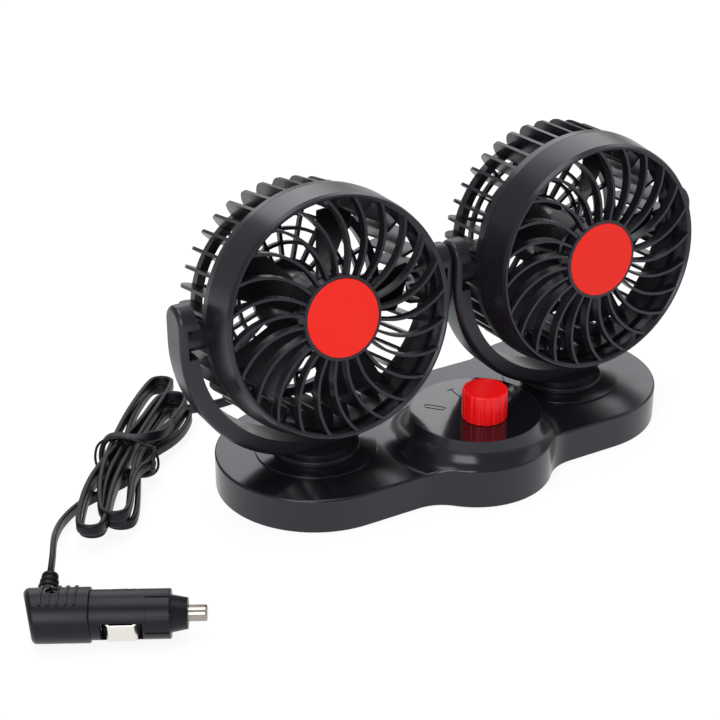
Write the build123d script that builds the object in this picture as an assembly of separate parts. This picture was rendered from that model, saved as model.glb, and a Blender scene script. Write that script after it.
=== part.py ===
from build123d import *
import os
from math import cos, hypot, pi, radians, sin, sqrt, tan

os.makedirs("parts", exist_ok=True)

# A dual head car fan: two small fans in U-shaped yokes on one base, with a speed knob and a
# coiled lead to a vehicle socket plug. Lengths are in millimetres and angles in degrees.
# +Z is up, the heads face -Y, and the origin is on the floor midway between the swivel axes.

# Layout of the whole fan
head_spacing = 139.0
left_tilt = 11.3
right_tilt = 4.0
shaft_clearance = 0.05
seat_gap = 0.3
overrun = 1.0

# Base shell
base_height = 17.0
lobe_radius = 47.2
back_inset = 8.7
bulge_inset = 20.2
bulge_lead = 6.8
bulge_blend = 21.0
back_blend = 8.0
base_wall = 2.2
base_edge_round = 1.2
base_lift = 0.4
platform_radius = 28.7
platform_rise = 0.8
dome_lead = 1.2
dome_clearance = 2.85
dome_flank = 5.0
dome_draft = 12.0
post_radius = 3.4
post_inset = 11.7
post_angle = 40.0
middle_post_spread = 22.0
middle_post_inset = 9.0

# Bottom cover, its screws and the pad under it
cover_height = 1.0
cover_thickness = 2.0
base_screw_radius = 1.4
base_screw_length = 9.0
base_screw_head_radius = 2.8
base_screw_head_height = 1.4
driver_slot_width = 0.8
driver_slot_depth = 0.7
pad_inset = 6.0
pad_hole_radius = 4.2

# Dial plate, knob and switch
dial_radius = 30.2
dial_rim = 0.8
dial_ledge = 2.4
dial_thickness = 1.2
knob_lead = 7.3
knob_radius = 10.6
knob_height = 14.0
knob_lift = 0.3
knob_edge_round = 0.9
knob_flute_count = 14
knob_flute_radius = 1.5
knob_flute_depth = 0.45
knob_cavity_radius = 8.2
knob_cavity_height = 3.4
mark_inset = 6.3
mark_height = 10.6
mark_width = 3.6
mark_line = 0.8
mark_depth = 0.3
mark_step = 41.0
switch_size = 18.0
switch_depth = 12.0
switch_bush_radius = 4.5
switch_shaft_radius = 3.0
switch_flat = 0.6
nut_radius = 7.0
nut_thickness = 2.0

# Speed board and its resistor, on posts inside the base
board_length = 34.0
board_width = 20.0
board_thickness = 1.6
board_x = -26.0
board_y = 9.0
board_post_radius = 2.5
resistor_length = 22.0
resistor_width = 7.0
resistor_height = 5.6
resistor_room = 0.6

# Yokes
yoke_gap = 1.0
yoke_wall = 8.0
yoke_lift = 0.4
yoke_arc_drop = 2.2
yoke_depth = 16.0
yoke_straight = 10.5
yoke_edge_round = 2.4
foot_radius = 20.4
foot_height = 2.2
foot_step_radius = 17.0
foot_step_height = 1.8
foot_gap = 0.3
spigot_radius = 8.0
slot_height = 14.0
slot_floor = 3.6
slot_reach = 7.4
washer_radius = 12.0
washer_thickness = 1.2
swivel_screw_radius = 2.2
swivel_screw_length = 10.5
swivel_head_radius = 4.6
swivel_head_height = 2.4
tilt_washer_radius = 6.0
tilt_washer_thickness = 0.6

# Front grille, about the fan's own axis
cap_front = 26.8
seam_place = 9.5
seam_width = 0.3
cap_clearance = 3.9
cap_taper = 2.1
cap_wall = 2.0
cap_lip_width = 2.7
cap_lip_depth = 4.4
cap_bevel = 0.9
bar_count = 24
bar_width = 1.3
bar_depth = 4.6
bar_setback = 0.5
bar_lead = 4.2
bar_bite = 1.0
bar_bend_angle = 60.0
hub_wall = 1.5
hub_floor = 1.6
badge_radius = 17.6
badge_thickness = 2.0
badge_proud = 0.6
badge_round = 0.5
badge_gap = 0.15
hub_depth = 5.3
hub_skirt = 1.6

# Rear cage
cage_rim_depth = 4.1
spigot_wall = 1.5
spigot_reach = 4.0
fin_count = 40
fin_width = 1.5
fin_inset = 1.1
fin_depth = 9.4
cage_back = 28.5
fin_round = 8.0
back_ring_overlap = 1.0
back_ring_width = 4.0
back_ring_depth = 4.4
back_bar_count = 20
back_bar_width = 1.6
back_bar_depth = 2.6
thin_ring_count = 3
motor_plate_margin = 5.0
ear_radius = 6.2
ear_pad_width = 14.0
ear_pad_depth = 8.0

# Pivot pins
pin_radius = 3.0
pin_head_radius = 4.4
pin_head_height = 1.8
pin_seat_inset = 5.1
pin_bite = 2.0

# Motor and impeller
motor_radius = 12.2
motor_wall = 1.0
motor_front = 1.0
end_cap_thickness = 2.4
bush_radius = 2.4
bush_length = 3.0
shaft_radius = 1.15
shaft_front = 11.0
rotor_back = 20.0
rotor_front = 6.5
rotor_slot_count = 5
rotor_slot_width = 1.6
rotor_slot_depth = 4.2
magnet_gap = 0.5
magnet_thickness = 1.7
magnet_angle = 130.0
motor_screw_radius = 1.2
motor_screw_head_radius = 2.2
motor_screw_head_height = 1.5
motor_screw_ring = 7.0
impeller_back = 8.0
impeller_front = 13.0
impeller_hub_gap = 0.7
impeller_hub_wall = 1.5
impeller_hub_round = 3.0
impeller_boss_radius = 3.6
impeller_boss_back = 3.0
blade_count = 5
blade_gap = 1.4
blade_thickness = 1.5
blade_root_chord = 20.0
blade_tip_chord = 30.0
blade_root_pitch = 48.0
blade_tip_pitch = 30.0
blade_height = 2.6

# Cord and its gland
cord_radius = 1.9
gland_inset = 12.2
gland_height = 8.0
gland_flange_radius = 4.8
gland_flange_thickness = 1.5
gland_neck_radius = 3.8
gland_length = 12.0
gland_tip_radius = 2.9
gland_lead = 11.5
hank_lead = 12.0
hank_tail_lead = 9.0
boot_lead = 9.0
arc_share = 0.45
angle_tolerance = 0.000001

# Hank of cord and its tie
hank_x = -141.0
hank_y = 50.0
hank_turn = 56.0
hank_half_width = 15.1
hank_step = 4.4
hank_waist_draw = 2.5
hank_turn_centre = 52.0
hank_loop_count = 5
hank_top = 11.6
hank_layer = 4.3
hank_start = 24.0
cord_floor = 2.05
hank_dive_end = 32.0
hank_exit_along = -34.0
hank_exit_across = -16.0
hank_exit_angle = 25.8
tie_width = 3.0
tie_thickness = 0.9
tie_gap = 0.25

# Plug
plug_rear_x = -233.4
plug_rear_y = -49.8
plug_lift = 0.1
plug_turn = -28.3
plug_roll = 14.0
housing_step = 1.15
housing_length = 28.7
housing_slant = 14.0
housing_round = 2.6
barrel_radius = 10.2
barrel_length = 22.3
plug_wall = 2.2
neck_inset = 1.6
neck_length = 6.0
neck_bore_radius = 5.5
bulkhead_thickness = 2.0
collar_length = 10.0
collar_lip = 1.3
collar_groove_count = 8
collar_groove_width = 0.9
collar_groove_depth = 0.4
collar_round = 0.5
nose_length = 6.8
nose_gap = 0.25
nose_root_step = 0.65
nose_taper = 1.3
tip_radius = 3.4
tip_length = 7.8
tip_round = 0.8
tip_flange_gap = 0.5
tip_flange_length = 2.0
fuse_radius = 3.1
fuse_length = 30.0
fuse_cap_length = 5.0
fuse_cap_rise = 0.15
spring_radius = 3.1
spring_wall = 0.6
spring_length = 9.0
contact_end_gap = 1.3
contact_width = 9.0
contact_thickness = 0.6
contact_proud = 0.1
contact_setback = 4.5
contact_ramp = 3.0
contact_foot = 1.2
boot_place = 10.0
boot_stand = 10.5
boot_sink = 1.15
boot_root_radius = 4.3
boot_tip_radius = 2.8
boot_neck_radius = 3.0
boot_flange_radius = 4.2
boot_flange_length = 1.5
boot_rib_count = 3
boot_rib_width = 1.4
boot_rib_rise = 0.6
boot_rib_step = 3.0
plug_screw_place = 13.6
plug_screw_turn = 20.0
plug_screw_radius = 1.2
plug_screw_length = 14.0
plug_screw_head_radius = 2.4
plug_screw_head_height = 1.4
plug_screw_post_radius = 3.2
ridge_count = 5
ridge_width = 1.0
ridge_rise = 0.7
ridge_place = 16.0
ridge_step = 3.45
ridge_sweep = 80.0

# Sizes and places that follow from those above: base and yokes
half_spacing = head_spacing / 2
base_back = lobe_radius - back_inset
back_corner = half_spacing - sqrt(lobe_radius**2 - base_back**2)
bulge_offset = lobe_radius - bulge_inset
dome_offset = bulge_offset + dome_lead
knob_offset = dome_offset + knob_lead
post_ring_radius = lobe_radius - post_inset
top_underside = base_height - base_wall
platform_height = base_height + platform_rise
cover_top = cover_height + cover_thickness
foot_bottom = platform_height + foot_gap
spigot_bottom = top_underside - seat_gap
yoke_radius = half_spacing - yoke_gap / 2
yoke_inner_radius = yoke_radius - yoke_wall
arc_height = foot_bottom + yoke_lift + yoke_radius
arm_round_height = arc_height + yoke_straight
tilt_axis_height = arc_height + yoke_arc_drop
slot_depth = yoke_wall - slot_floor
gland_x = gland_inset - back_corner

# The dome is low enough for the yokes to swing over it
dome_top_radius = dial_radius + dial_rim
dome_cavity_radius = dial_radius - dial_ledge
bulge_radius = dome_top_radius + bulge_lead
swing_reach = hypot(half_spacing, dome_offset) - dome_top_radius
dome_height = arc_height - sqrt(yoke_radius**2 - swing_reach**2) - dome_clearance
dome_shelf = dome_height - dial_thickness
dome_underside = dome_shelf - base_wall
dome_foot_round = (dome_height - base_height - dome_flank) / (1 - sin(radians(dome_draft)))
mark_distance = dial_radius - mark_inset
knob_bottom = dome_height + knob_lift
board_rise = top_underside - resistor_room - resistor_height - board_thickness - cover_top

# Sizes and places of the plug
housing_radius = barrel_radius + housing_step
plug_axis_height = housing_radius + plug_lift
neck_radius = barrel_radius - neck_inset
nose_flange_radius = neck_radius - nose_gap
nose_root_radius = nose_flange_radius - nose_root_step
nose_end_radius = nose_root_radius - nose_taper
tip_flange_radius = neck_bore_radius - tip_flange_gap
contact_rear = housing_length + contact_setback
contact_length = barrel_length - contact_setback - contact_end_gap
contact_height = barrel_radius + contact_proud
boot_reach = housing_radius + boot_stand
boot_seat = housing_radius - boot_sink
barrel_end = housing_length + barrel_length
collar_end = barrel_end + collar_length
nose_end = collar_end + nose_length

# Sizes and places of the heads
cap_seam_radius = yoke_inner_radius - cap_clearance
cap_front_radius = cap_seam_radius - cap_taper
cap_lip_radius = cap_front_radius - cap_lip_width
hub_radius = badge_radius + hub_wall
fin_radius = cap_seam_radius - fin_inset
fin_inner_radius = fin_radius - fin_depth
back_ring_radius = fin_inner_radius + back_ring_overlap
back_ring_bore = back_ring_radius - back_ring_width
motor_plate_radius = motor_radius + motor_plate_margin
back_ring_step = (back_ring_bore - motor_plate_radius) / (thin_ring_count + 1)
pin_seat_radius = cap_seam_radius - pin_seat_inset
blade_radius = fin_inner_radius - blade_gap
ear_reach = yoke_inner_radius + slot_depth - tilt_washer_thickness - 2 * shaft_clearance
cage_plate_front = back_bar_depth - cage_back
cap_back = seam_place + seam_width
cap_straight_front = cap_front - 2 * cap_bevel
can_bore = motor_radius - motor_wall
magnet_radius = can_bore - shaft_clearance
rotor_radius = magnet_radius - magnet_thickness - magnet_gap
impeller_hub_bore = motor_radius + impeller_hub_gap
impeller_hub_radius = impeller_hub_bore + impeller_hub_wall


# Plain shapes

def disc(radius, start, end):
    """A round disc about Z between two heights."""
    return Pos(0, 0, start) * extrude(Circle(radius), end - start)


def ring(radius, bore, start, end):
    """A round ring about Z between two heights."""
    return Pos(0, 0, start) * extrude(Circle(radius) - Circle(bore), end - start)


def block(x_size, y_size, start, end):
    """A block centred on Z between two heights."""
    return Pos(0, 0, start) * extrude(Rectangle(x_size, y_size), end - start)


def turned(points):
    """A solid turned about Z from an outline of radius and height pairs."""
    outline = Polyline(*[(radius, height) for radius, height in points], close=True)
    return revolve(Plane.XZ * make_face(outline), Axis.Z)


def along_x(shape):
    """Lays a shape that was built about Z along X, its top pointing to +X."""
    return Rot(0, 90, 0) * shape


def around(shape, count):
    """Copies of a shape, evenly spaced about Z."""
    return [Rot(0, 0, 360 * turn / count) * shape for turn in range(count)]


def screw(radius, length, head_radius, head_height):
    """A cross-head screw standing on its head at Z = 0, with its point up."""
    body = disc(head_radius, -head_height, 0) + disc(radius, 0, length)
    slot = block(2 * radius, driver_slot_width, -head_height, driver_slot_depth - head_height)
    return body - [slot, Rot(0, 0, 90) * slot]


# Base

def base_outline(inset):
    """The base seen from above: two round lobes, a straight back and a round bulge in front."""
    lobes = [Pos(side * half_spacing, 0) * Circle(lobe_radius) for side in (-1, 1)]
    depth = lobe_radius + base_back
    middle = Pos(0, (base_back - lobe_radius) / 2) * Rectangle(head_spacing, depth)
    bulge = Pos(0, -bulge_offset) * Circle(bulge_radius)
    outline = Sketch() + lobes + middle + bulge
    reach = lobe_radius - bulge_offset
    front_corner = sqrt(bulge_radius**2 - reach**2)
    near = base_wall
    for side in (-1, 1):
        for x, y, blend in (
            (side * front_corner, -lobe_radius, bulge_blend),
            (side * back_corner, base_back, back_blend),
        ):
            corner = [v for v in outline.vertices() if hypot(v.X - x, v.Y - y) < near]
            outline = fillet(corner, blend)
    return offset(outline, -inset) if inset else outline


def post_places():
    """Where the bottom cover is screwed to the shell."""
    reach = post_ring_radius * cos(radians(post_angle))
    rise = post_ring_radius * sin(radians(post_angle))
    outer = [(side * (half_spacing + reach), up * rise) for side in (-1, 1) for up in (-1, 1)]
    middle = [(side * middle_post_spread, base_back - middle_post_inset) for side in (-1, 1)]
    return outer + middle


def dome():
    """The platform that carries the dial: a drafted flank that sweeps out into the base's top."""
    draft = radians(dome_draft)
    flank_foot = dome_top_radius + dome_flank * tan(draft)
    flank_end = (flank_foot, dome_height - dome_flank)
    foot = flank_foot + dome_foot_round * cos(draft)
    half_turn = (pi / 2 - draft) / 2
    middle_radius = foot - dome_foot_round * sin(half_turn)
    middle_height = base_height + dome_foot_round * (1 - cos(half_turn))
    sweep_out = ThreePointArc((foot, base_height), (middle_radius, middle_height), flank_end)
    low = base_height - base_wall / 2
    rest = Polyline(
        flank_end,
        (dome_top_radius, dome_height),
        (0, dome_height),
        (0, low),
        (foot, low),
        (foot, base_height),
    )
    return Pos(0, -dome_offset, 0) * revolve(Plane.XZ * make_face(sweep_out + rest), Axis.Z)


def base_shell():
    body = Pos(0, 0, base_lift) * extrude(base_outline(0), base_height - base_lift)
    body += dome() & extrude(base_outline(0), dome_height)
    walls = [f for f in body.faces() if abs(f.normal_at().Z) < angle_tolerance]
    outer = [f for f in walls if f.bounding_box().min.Z < base_height / 2]
    rim = [e for f in outer for e in f.edges() if min((e @ 0).Z, (e @ 1).Z) > base_height / 2]
    body = fillet(rim, base_edge_round)
    platform = disc(platform_radius, top_underside, platform_height)
    platform = fillet(platform.faces().sort_by(Axis.Z)[-1].edges(), platform_rise / 2)
    body += [Pos(side * half_spacing, 0, 0) * platform for side in (-1, 1)]
    cavity = extrude(base_outline(base_wall), top_underside)
    body -= cavity
    body -= Pos(0, -dome_offset, 0) * disc(dome_cavity_radius, top_underside - overrun, dome_underside)
    post = disc(post_radius, cover_top, base_height - base_wall / 2)
    body += [Pos(x, y, 0) * post for x, y in post_places()]
    screw_end = cover_height + base_screw_head_height + base_screw_length
    pilot = disc(base_screw_radius + shaft_clearance, 0, screw_end + seat_gap)
    body -= [Pos(x, y, 0) * pilot for x, y in post_places()]
    hole = disc(spigot_radius + shaft_clearance, 0, base_height + base_wall)
    body -= [Pos(side * half_spacing, 0, 0) * hole for side in (-1, 1)]
    body -= Pos(0, -dome_offset, 0) * disc(dial_radius, dome_shelf, dome_height + overrun)
    body -= Pos(0, -knob_offset, 0) * disc(switch_bush_radius + shaft_clearance, 0, dome_height)
    body -= Pos(gland_x, base_back, gland_height) * Rot(90, 0, 0) * disc(
        gland_neck_radius + shaft_clearance, -overrun, base_wall + overrun
    )
    return body


def base_cover():
    plate = Pos(0, 0, cover_height) * extrude(base_outline(base_wall + seat_gap), cover_thickness)
    board_posts = [
        Pos(board_x + side * board_length / 3, board_y, 0)
        * disc(board_post_radius, cover_height, cover_top + board_rise)
        for side in (-1, 1)
    ]
    plate += board_posts
    through = disc(base_screw_radius + shaft_clearance, 0, cover_top + overrun)
    sink = disc(base_screw_head_radius + seat_gap, 0, cover_height + base_screw_head_height)
    plate -= [Pos(x, y, 0) * tool for x, y in post_places() for tool in (through, sink)]
    return plate


def base_screws():
    one = Pos(0, 0, cover_height + base_screw_head_height) * screw(
        base_screw_radius, base_screw_length, base_screw_head_radius, base_screw_head_height
    )
    return Compound([Pos(x, y, 0) * one for x, y in post_places()])


def base_pad():
    pad = extrude(base_outline(pad_inset), cover_height)
    hole = disc(pad_hole_radius, 0, cover_height)
    return pad - [Pos(x, y, 0) * hole for x, y in post_places()]


# Dial, knob and switch

def dial_mark(speed):
    """An engraved speed mark: a ring for off, then one stroke for each speed."""
    if speed == 0:
        hollow = SlotOverall(mark_height - 2 * mark_line, mark_width - 2 * mark_line)
        return SlotOverall(mark_height, mark_width) - hollow
    strokes = [
        Pos(0, (place - (speed - 1) / 2) * mark_width / 2) * Rectangle(mark_height, mark_line)
        for place in range(speed)
    ]
    serifs = [
        Pos(end * (mark_height - mark_line) / 2, 0) * Rectangle(mark_line, mark_width)
        for end in (-1, 1)
    ]
    return Sketch() + strokes + serifs


def dial_plate():
    plate = Pos(0, -dome_offset, 0) * disc(dial_radius - shaft_clearance, dome_shelf, dome_height)
    plate -= Pos(0, -knob_offset, 0) * disc(nut_radius + seat_gap, dome_shelf, dome_height)
    for speed in range(3):
        turn = 90 + mark_step * (1 - speed)
        mark = Pos(0, -knob_offset, 0) * Rot(0, 0, turn) * Pos(mark_distance, 0, 0) * dial_mark(speed)
        plate -= Pos(0, 0, dome_height - mark_depth) * extrude(mark, mark_depth)
    return plate


def speed_knob():
    top = knob_bottom + knob_height
    body = disc(knob_radius, knob_bottom, top)
    place = knob_radius + knob_flute_radius - knob_flute_depth
    flute = Pos(place, 0, 0) * disc(knob_flute_radius, knob_bottom, top)
    body -= around(flute, knob_flute_count)
    body = fillet(body.faces().sort_by(Axis.Z)[-1].edges(), knob_edge_round)
    body -= disc(knob_cavity_radius, knob_bottom, knob_bottom + knob_cavity_height)
    bore = disc(switch_shaft_radius + shaft_clearance, knob_bottom, top - 2 * base_wall)
    return Pos(0, -knob_offset, 0) * (body - bore)


def switch_shaft():
    end = knob_bottom + knob_height - 2 * base_wall - seat_gap
    rod = disc(switch_shaft_radius, dome_underside - switch_depth / 2, end)
    flat = Pos(2 * switch_shaft_radius - switch_flat, 0, 0) * block(
        2 * switch_shaft_radius, 2 * switch_shaft_radius, knob_bottom + knob_cavity_height, end
    )
    return Pos(0, -knob_offset, 0) * (rod - flat)


def speed_switch():
    body = block(switch_size, switch_size, dome_underside - switch_depth, dome_underside)
    body += disc(switch_bush_radius, dome_underside, dome_shelf + nut_thickness)
    bore_start = dome_underside - switch_depth / 2 - seat_gap
    body -= disc(switch_shaft_radius + shaft_clearance, bore_start, dome_height + nut_thickness)
    return Pos(0, -knob_offset, 0) * body


def switch_nut():
    nut = Pos(0, 0, dome_shelf) * extrude(RegularPolygon(nut_radius, 6), nut_thickness)
    nut -= disc(switch_bush_radius + shaft_clearance, dome_shelf, dome_height + nut_thickness)
    return Pos(0, -knob_offset, 0) * nut


def speed_board():
    height = cover_top + board_rise
    return Pos(board_x, board_y, 0) * block(board_length, board_width, height, height + board_thickness)


def speed_resistor():
    height = cover_top + board_rise + board_thickness
    body = block(resistor_length, resistor_width, height, height + resistor_height)
    return Pos(board_x, board_y, 0) * body


def cord_gland():
    inner = -base_wall - gland_flange_thickness
    flex = turned([
        (0, inner),
        (gland_flange_radius, inner),
        (gland_flange_radius, -base_wall),
        (gland_neck_radius, -base_wall),
        (gland_neck_radius, 0),
        (gland_flange_radius, 0),
        (gland_flange_radius, gland_flange_thickness),
        (gland_neck_radius, gland_flange_thickness),
        (gland_tip_radius, gland_length),
        (0, gland_length),
    ])
    return Pos(gland_x, base_back, gland_height) * Rot(-90, 0, 0) * flex


# Yokes, built about the swivel axis

def yoke():
    middle = Pos(0, arc_height)
    u_shape = middle * (Circle(yoke_radius) - Circle(yoke_inner_radius))
    u_shape -= Pos(0, arc_height + yoke_radius) * Rectangle(2 * yoke_radius, 2 * yoke_radius)
    arm_top = arm_round_height + yoke_depth / 2
    arm_height = arm_top - arc_height
    for side in (-1, 1):
        across = side * (yoke_radius + yoke_inner_radius) / 2
        arm = Rectangle(yoke_radius - yoke_inner_radius, arm_height)
        u_shape += Pos(across, arc_height + arm_height / 2) * arm
    body = extrude(Plane.XZ * u_shape, yoke_depth / 2, both=True)
    profile = Pos(0, arm_round_height) * Circle(yoke_depth / 2)
    profile += Pos(0, arm_round_height / 2) * Rectangle(yoke_depth, arm_round_height)
    body &= extrude(Plane.YZ * profile, yoke_radius, both=True)

    def on_outside(edge):
        middle_point = edge @ (1 / 2)
        drop = min(middle_point.Z - arc_height, 0)
        return abs(hypot(middle_point.X, drop) - yoke_radius) < shaft_clearance

    sides = [e for e in body.edges() if on_outside(e) and abs((e @ (1 / 2)).Y) > shaft_clearance]
    body = fillet(sides, yoke_edge_round)
    foot = disc(foot_radius, foot_bottom, foot_bottom + foot_height)
    foot = fillet(foot.edges().sort_by(Axis.Z)[-1], foot_gap * 2)
    step = disc(foot_step_radius, foot_bottom, foot_bottom + foot_height + foot_step_height)
    spigot = disc(spigot_radius, spigot_bottom, foot_bottom)
    body = body + [foot, step, spigot]
    bore = disc(swivel_screw_radius + shaft_clearance, spigot_bottom, spigot_bottom + swivel_screw_length)
    slot_middle = (slot_reach - yoke_depth / 2 - overrun) / 2
    slot_width = slot_reach + yoke_depth / 2 + overrun
    cutters = [bore]
    hole_end = yoke_inner_radius + slot_depth + pin_bite + shaft_clearance
    hole = disc(pin_radius + shaft_clearance, ear_reach, hole_end)
    for side in (-1, 1):
        place = side * (yoke_inner_radius + (slot_depth - overrun) / 2)
        slot = Box(slot_depth + overrun, slot_width, slot_height)
        cutters.append(Pos(place, slot_middle, tilt_axis_height) * slot)
        cutters.append(Pos(0, 0, tilt_axis_height) * Rot(0, 90 * side, 0) * hole)
    return body - cutters


def swivel_washer():
    start = spigot_bottom - washer_thickness
    return ring(washer_radius, swivel_screw_radius + shaft_clearance, start, spigot_bottom)


def swivel_screw():
    return Pos(0, 0, spigot_bottom - washer_thickness) * screw(
        swivel_screw_radius, swivel_screw_length, swivel_head_radius, swivel_head_height
    )


def tilt_washers():
    end = yoke_inner_radius + slot_depth - shaft_clearance
    one = ring(tilt_washer_radius, pin_radius + shaft_clearance, end - tilt_washer_thickness, end)
    return Compound([Pos(0, 0, tilt_axis_height) * Rot(0, 90 * side, 0) * one for side in (-1, 1)])


# Heads, built about the point where the fan's axis crosses the tilt axis, facing +Z

def front_grille():
    frame = turned([
        (cap_seam_radius, cap_back),
        (cap_front_radius, cap_straight_front),
        (cap_front_radius - cap_bevel, cap_front),
        (cap_lip_radius + cap_bevel, cap_front),
        (cap_lip_radius, cap_front - cap_bevel),
        (cap_lip_radius, cap_front - cap_lip_depth),
        (cap_front_radius - cap_wall, cap_front - cap_lip_depth),
        (cap_seam_radius - cap_wall, cap_back),
    ])
    bar_front = cap_front - bar_setback
    root = hub_radius - hub_floor / 2
    bend_start = hub_radius + bar_lead
    swing = sin(radians(bar_bend_angle))
    chord_share = 2 - 2 * cos(radians(bar_bend_angle))
    reach = (cap_lip_radius + bar_bite) ** 2 - bend_start**2
    bend_radius = (sqrt((bend_start * swing) ** 2 + chord_share * reach) - bend_start * swing) / chord_share
    straight = Line((root, 0), (bend_start, 0))
    bend = JernArc((bend_start, 0), (1, 0), bend_radius, bar_bend_angle)
    upright = Plane(origin=(root, 0, 0), x_dir=(0, 1, 0), z_dir=(1, 0, 0))
    section = upright * Rectangle(bar_width, bar_depth)
    bar = sweep(section, path=straight + bend)
    bar = Pos(0, 0, bar_front - bar_depth / 2) * bar
    hub = disc(hub_radius, cap_front - hub_depth, cap_front)
    recess = disc(badge_radius + badge_gap, cap_front - badge_thickness + badge_proud, cap_front)
    hollow_top = cap_front - badge_thickness + badge_proud - hub_floor
    hollow = disc(hub_radius - hub_skirt, cap_front - hub_depth, hollow_top)
    body = frame + around(bar, bar_count) + [hub]
    return body - [recess, hollow]


def badge_disc():
    start = cap_front - badge_thickness + badge_proud
    badge = disc(badge_radius, start, start + badge_thickness)
    return fillet(badge.edges().sort_by(Axis.Z)[-1], badge_round)


def rear_cage():
    taper = cap_wall + (cap_seam_radius - cap_front_radius) * spigot_reach / (cap_straight_front - cap_back)
    spigot_radius_here = cap_seam_radius - taper - seam_width - shaft_clearance
    bore = spigot_radius_here - spigot_wall
    rim_back = seam_place - cage_rim_depth
    rim = turned([
        (bore, rim_back),
        (cap_seam_radius, rim_back),
        (cap_seam_radius, seam_place),
        (spigot_radius_here, seam_place),
        (spigot_radius_here, seam_place + spigot_reach),
        (bore, seam_place + spigot_reach),
    ])
    round_start = fin_radius - fin_round
    mid = fin_round * sqrt(2) / 2
    fin_outline = Polyline(
        (round_start, -cage_back),
        (fin_inner_radius, -cage_back),
        (fin_inner_radius, rim_back + fin_width),
        (fin_radius, rim_back + fin_width),
        (fin_radius, fin_round - cage_back),
    )
    corner = ThreePointArc(
        (fin_radius, fin_round - cage_back),
        (round_start + mid, fin_round - cage_back - mid),
        (round_start, -cage_back),
    )
    fin = extrude(Plane.XZ * make_face(fin_outline + corner), fin_width / 2, both=True)
    fin -= disc(bore, rim_back, seam_place)
    outer = ring(back_ring_radius, back_ring_bore, -cage_back, back_ring_depth - cage_back)
    plate = disc(motor_plate_radius, -cage_back, cage_plate_front)
    reach = back_ring_bore + back_ring_width / 2 - motor_plate_radius + back_bar_width
    middle = (back_ring_bore + back_ring_width / 2 + motor_plate_radius - back_bar_width) / 2
    bar = Pos(middle, 0, 0) * block(reach, back_bar_width, -cage_back, cage_plate_front)
    thin = []
    for step in range(1, thin_ring_count + 1):
        radius = back_ring_bore - step * back_ring_step + back_bar_width
        thin.append(ring(radius, radius - back_bar_width, -cage_back, cage_plate_front))
    ears = []
    for side in (-1, 1):
        boss = Rot(0, 90 * side, 0) * disc(ear_radius, pin_seat_radius, ear_reach)
        pad_width = cap_seam_radius - pin_seat_radius
        pad_height = seam_place + ear_pad_depth
        pad = Box(pad_width, ear_pad_width, pad_height)
        pad = Pos(side * (pin_seat_radius + pad_width / 2), 0, (seam_place - ear_pad_depth) / 2) * pad
        ears += [boss, pad]
    body = rim + around(fin, fin_count) + [outer, plate] + around(bar, back_bar_count) + thin + ears
    cutters = [disc(bush_radius + shaft_clearance, -cage_back, cage_plate_front)]
    screw_hole = disc(motor_screw_radius + shaft_clearance, -cage_back, cage_plate_front)
    for side in (-1, 1):
        cutters.append(Pos(side * motor_screw_ring, 0, 0) * screw_hole)
        pin_hole = disc(pin_radius + shaft_clearance, pin_seat_radius - overrun, ear_reach)
        head_room = disc(pin_head_radius + seat_gap, fin_inner_radius - overrun, pin_seat_radius)
        cutters += [Rot(0, 90 * side, 0) * pin_hole, Rot(0, 90 * side, 0) * head_room]
    return body - cutters


def pivot_pins():
    end = yoke_inner_radius + slot_depth + pin_bite
    one = disc(pin_radius, pin_seat_radius, end)
    one += disc(pin_head_radius, pin_seat_radius - pin_head_height, pin_seat_radius)
    return Compound([Rot(0, 90 * side, 0) * one for side in (-1, 1)])


def motor_can():
    can = disc(motor_radius, cage_plate_front, -motor_front)
    can -= disc(can_bore, cage_plate_front, -motor_front - motor_wall)
    return can - disc(bush_radius + shaft_clearance, -motor_front - motor_wall, -motor_front)


def motor_end_cap():
    cap = disc(can_bore - shaft_clearance, cage_plate_front, cage_plate_front + end_cap_thickness)
    cap -= disc(bush_radius + shaft_clearance, cage_plate_front, cage_plate_front + end_cap_thickness)
    hole = disc(motor_screw_radius + shaft_clearance, cage_plate_front, cage_plate_front + end_cap_thickness)
    return cap - [Pos(side * motor_screw_ring, 0, 0) * hole for side in (-1, 1)]


def motor_magnets():
    inner = magnet_radius - magnet_thickness
    sector = Plane.XZ * Pos((magnet_radius + inner) / 2, -(rotor_back + rotor_front) / 2) * Rectangle(
        magnet_thickness, rotor_back - rotor_front
    )
    magnet = Rot(0, 0, -magnet_angle / 2) * revolve(sector, Axis.Z, magnet_angle)
    return Compound([Rot(0, 0, turn) * magnet for turn in (0, 180)])


def motor_bushes():
    front_start = shaft_clearance - motor_front - bush_length / 2
    bush = ring(bush_radius, shaft_radius + shaft_clearance, 0, bush_length)
    return Compound([Pos(0, 0, front_start) * bush, Pos(0, 0, cage_plate_front) * bush])


def motor_screws():
    length = cage_plate_front + end_cap_thickness + cage_back - shaft_clearance
    one = Pos(0, 0, -cage_back) * screw(
        motor_screw_radius, length, motor_screw_head_radius, motor_screw_head_height
    )
    return Compound([Pos(side * motor_screw_ring, 0, 0) * one for side in (-1, 1)])


def motor_shaft():
    return disc(shaft_radius, cage_plate_front, shaft_front)


def rotor():
    core = disc(rotor_radius, -rotor_back, -rotor_front)
    depth = rotor_slot_depth + overrun
    slot = Pos(rotor_radius + overrun - depth / 2, 0, 0) * block(
        depth, rotor_slot_width, -rotor_back, -rotor_front
    )
    bore = disc(shaft_radius + shaft_clearance, -rotor_back, -rotor_front)
    return core - (around(slot, rotor_slot_count) + [bore])


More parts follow.
